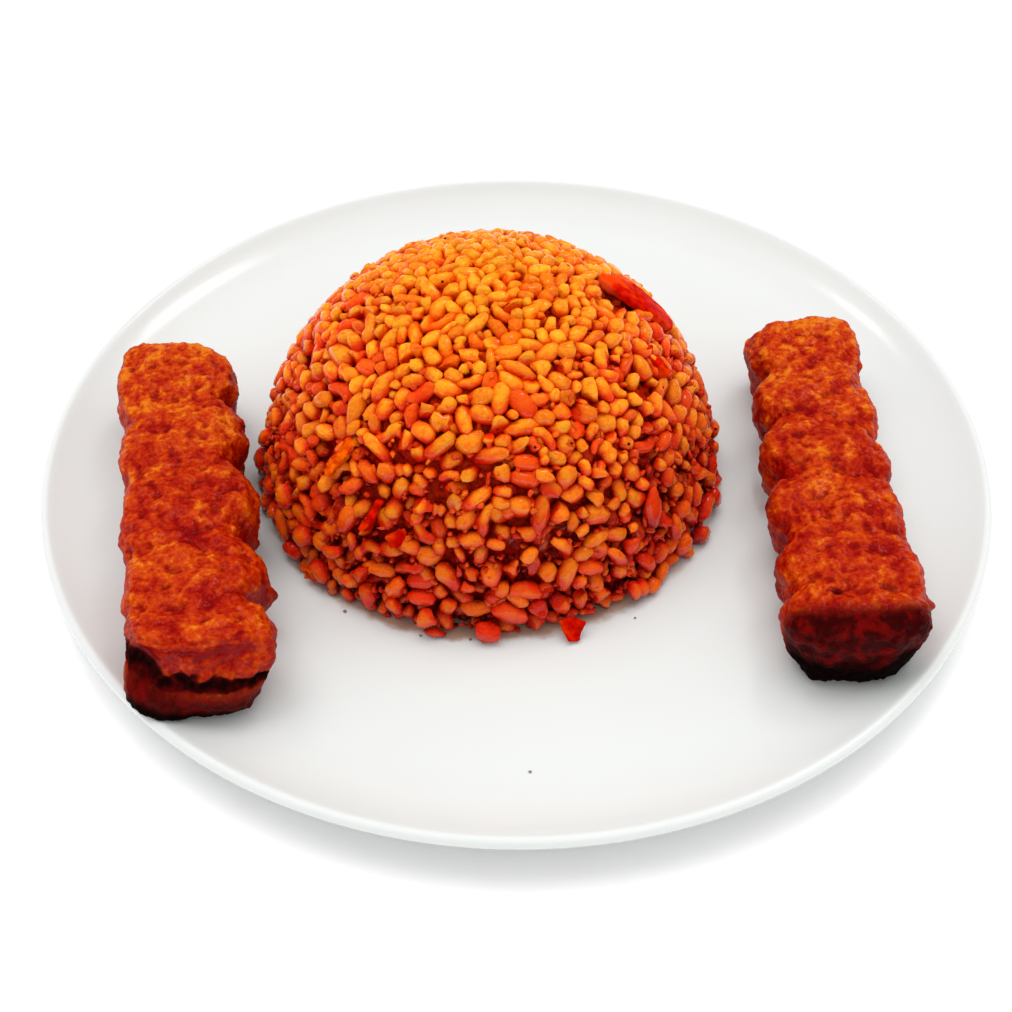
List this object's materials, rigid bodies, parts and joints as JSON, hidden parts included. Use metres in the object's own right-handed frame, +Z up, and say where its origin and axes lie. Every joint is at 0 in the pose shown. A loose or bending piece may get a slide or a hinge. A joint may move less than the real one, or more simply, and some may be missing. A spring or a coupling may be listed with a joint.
{
  "type": "bulgur pilaf on a plate",
  "caption": "Moulded dome of tomato bulgur pilaf served on a round white coupe plate, with a lobed fried stick along each side.",
  "frame": {"origin": "centre of the plate's foot on the table", "axes": "+Z up, -Y towards the diner, +X to the right"},
  "size_m": [0.27, 0.27, 0.0752],
  "materials": {
    "porcelain": "smooth glossy white glaze",
    "bulgur": "moist cooked grain in oil and tomato",
    "tomato": "wet tomato flesh and skin",
    "fried_crust": "rough fried crust, moist with oil"
  },
  "bodies": {
    "root": {"plate": "porcelain", "bulgur_heap": "bulgur", "tomato_slice": "tomato", "tomato_scrap": "tomato", "fried_stick_left": "fried_crust", "fried_stick_right": "fried_crust"}
  },
  "joints": []
}
